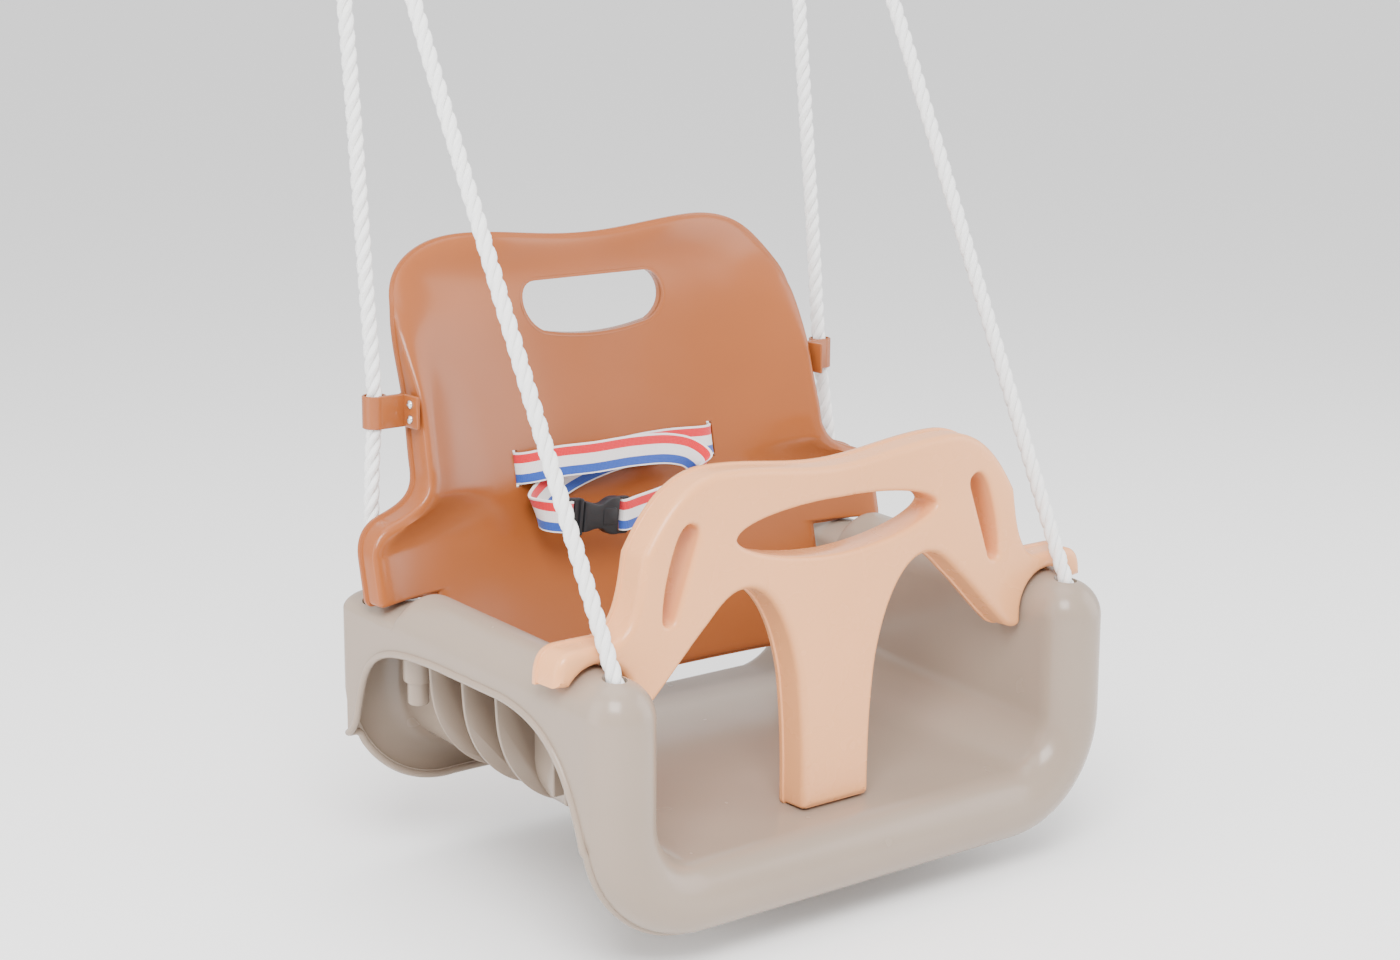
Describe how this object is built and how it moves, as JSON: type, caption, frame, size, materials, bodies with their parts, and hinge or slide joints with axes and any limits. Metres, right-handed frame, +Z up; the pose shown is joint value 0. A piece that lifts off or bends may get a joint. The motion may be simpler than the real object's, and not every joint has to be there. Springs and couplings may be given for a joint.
{
  "type": "toddler bucket swing",
  "caption": "Moulded bucket swing seat with a scooped backrest, an arched front guard, a lap belt with a side-release buckle and two hanging ropes.",
  "frame": {"origin": "midway between the centres of the two hanging rings", "axes": "+Z up, +Y towards the back of the seat, +X to the toddler's left-hand side as seen from the front, the viewer's right"},
  "size_m": [0.4122, 0.2987, 0.6564],
  "materials": {
    "seat_plastic": "warm grey moulded plastic, satin gloss",
    "back_plastic": "terracotta brown moulded plastic, satin gloss",
    "guard_plastic": "peach moulded plastic, satin gloss",
    "rope_fibre": "white twisted three-strand rope",
    "webbing": "ribbed webbing striped red, white and blue",
    "buckle_plastic": "black moulded plastic",
    "zinc_steel": "zinc-plated steel",
    "screw_steel": "bright plated steel"
  },
  "bodies": {
    "seat": {"seat_base": "seat_plastic", "backrest": "back_plastic", "rope_left": "rope_fibre", "front_knot_left": "rope_fibre", "rear_knot_left": "rope_fibre", "rope_thimble_left": "zinc_steel", "rope_clip_left": "back_plastic", "clip_screw_upper_left": "screw_steel", "clip_screw_lower_left": "screw_steel", "rope_right": "rope_fibre", "front_knot_right": "rope_fibre", "rear_knot_right": "rope_fibre", "rope_thimble_right": "zinc_steel", "rope_clip_right": "back_plastic", "clip_screw_upper_right": "screw_steel", "clip_screw_lower_right": "screw_steel", "belt_strap_left": "webbing", "belt_strap_right": "webbing", "buckle_socket": "buckle_plastic"},
    "rings": {"hanging_ring_left": "zinc_steel", "hanging_ring_right": "zinc_steel"},
    "guard": {"front_guard": "guard_plastic"},
    "tongue": {"buckle_tongue": "buckle_plastic"}
  },
  "joints": [
    {"name": "swing_pivot", "type": "hinge", "parent": "seat", "child": "rings", "pos_m": [0, 0, -0.02], "axis": [1, 0, 0], "range_deg": [-45, 45]},
    {"name": "guard_lift", "type": "slide", "parent": "seat", "child": "guard", "axis": [0, 0.446, 0.895], "range_m": [0, 0.2]},
    {"name": "buckle_release", "type": "slide", "parent": "seat", "child": "tongue", "axis": [-0.995, 0, 0.0998], "range_m": [0, 0.025], "deforming": ["belt_strap_right"]}
  ]
}
